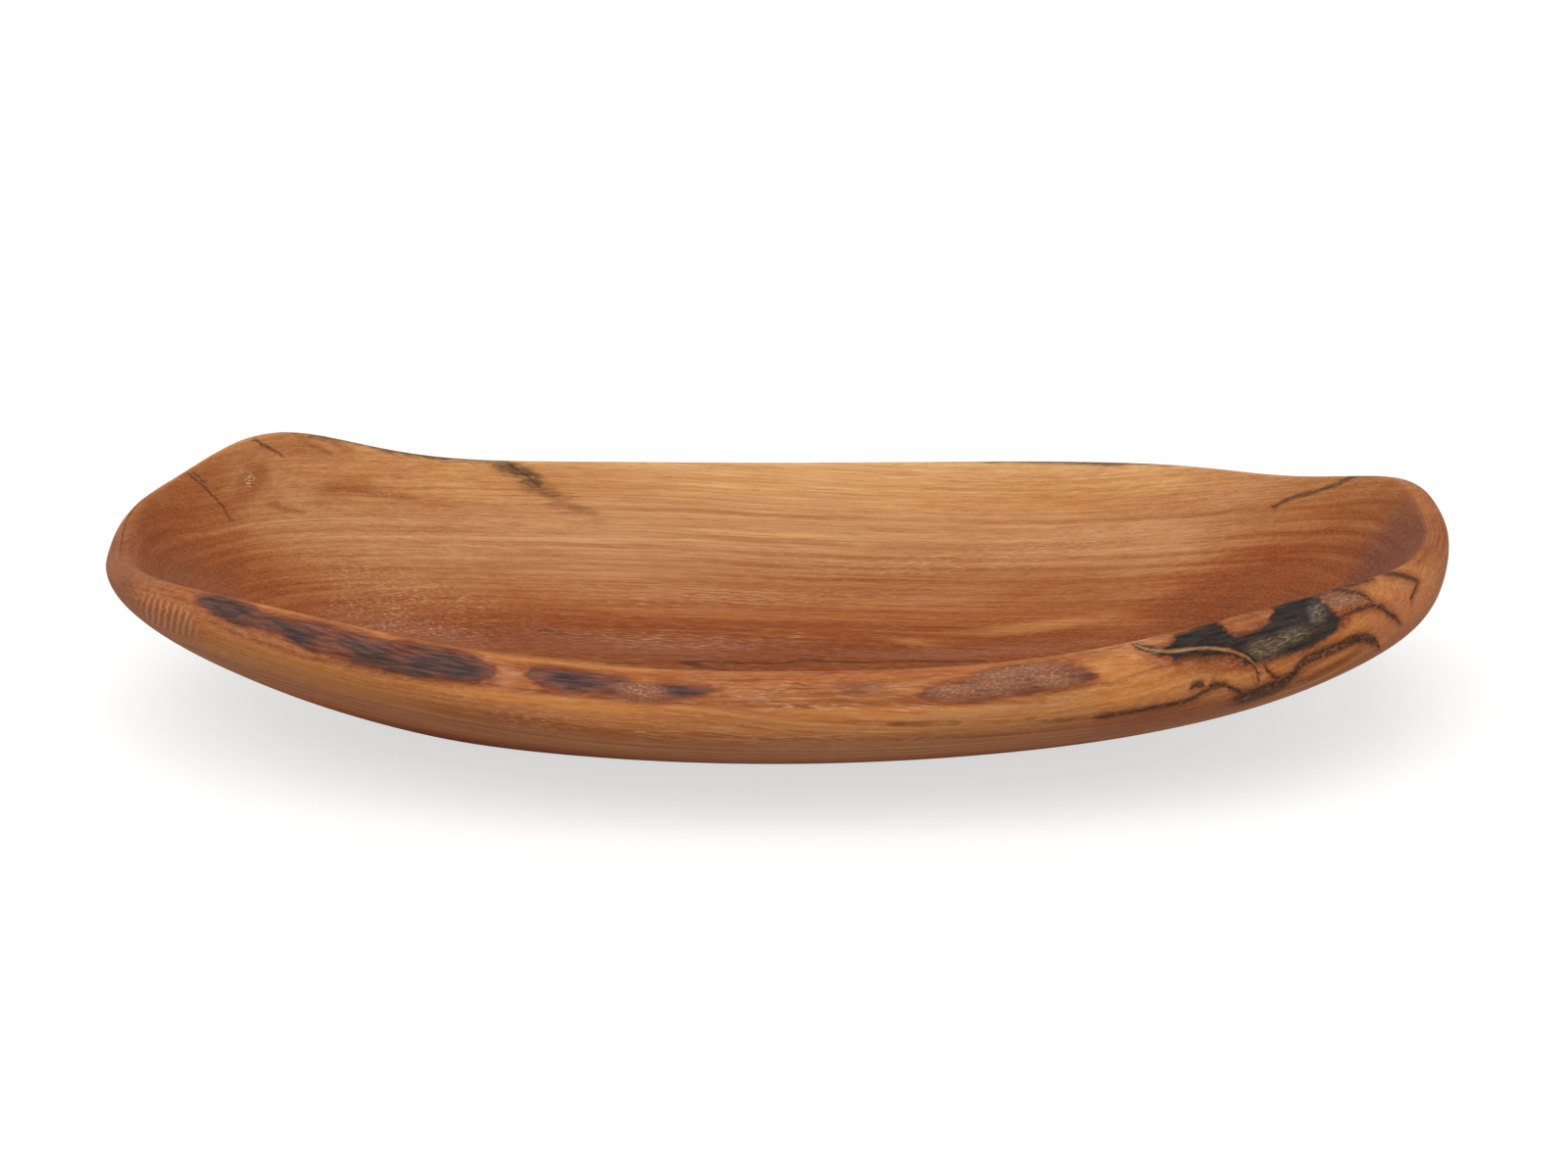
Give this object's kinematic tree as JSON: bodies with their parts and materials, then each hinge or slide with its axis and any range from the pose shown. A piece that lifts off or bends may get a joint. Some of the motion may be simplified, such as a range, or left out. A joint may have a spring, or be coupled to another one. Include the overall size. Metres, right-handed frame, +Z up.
{
  "type": "wooden bowl",
  "caption": "Boat-shaped oval bowl carved from one piece of wood, with raised ends, a thick rounded natural edge along one long side and a flat oval to stand on.",
  "frame": {"origin": "on the table, under the middle of the bowl", "axes": "+X along the bowl and the grain, -Y towards the side with the natural edge, +Z up"},
  "size_m": [0.4, 0.18, 0.0705],
  "materials": {
    "wood": "oiled, satin"
  },
  "bodies": {
    "root": {"carved_bowl": "wood"}
  },
  "joints": []
}
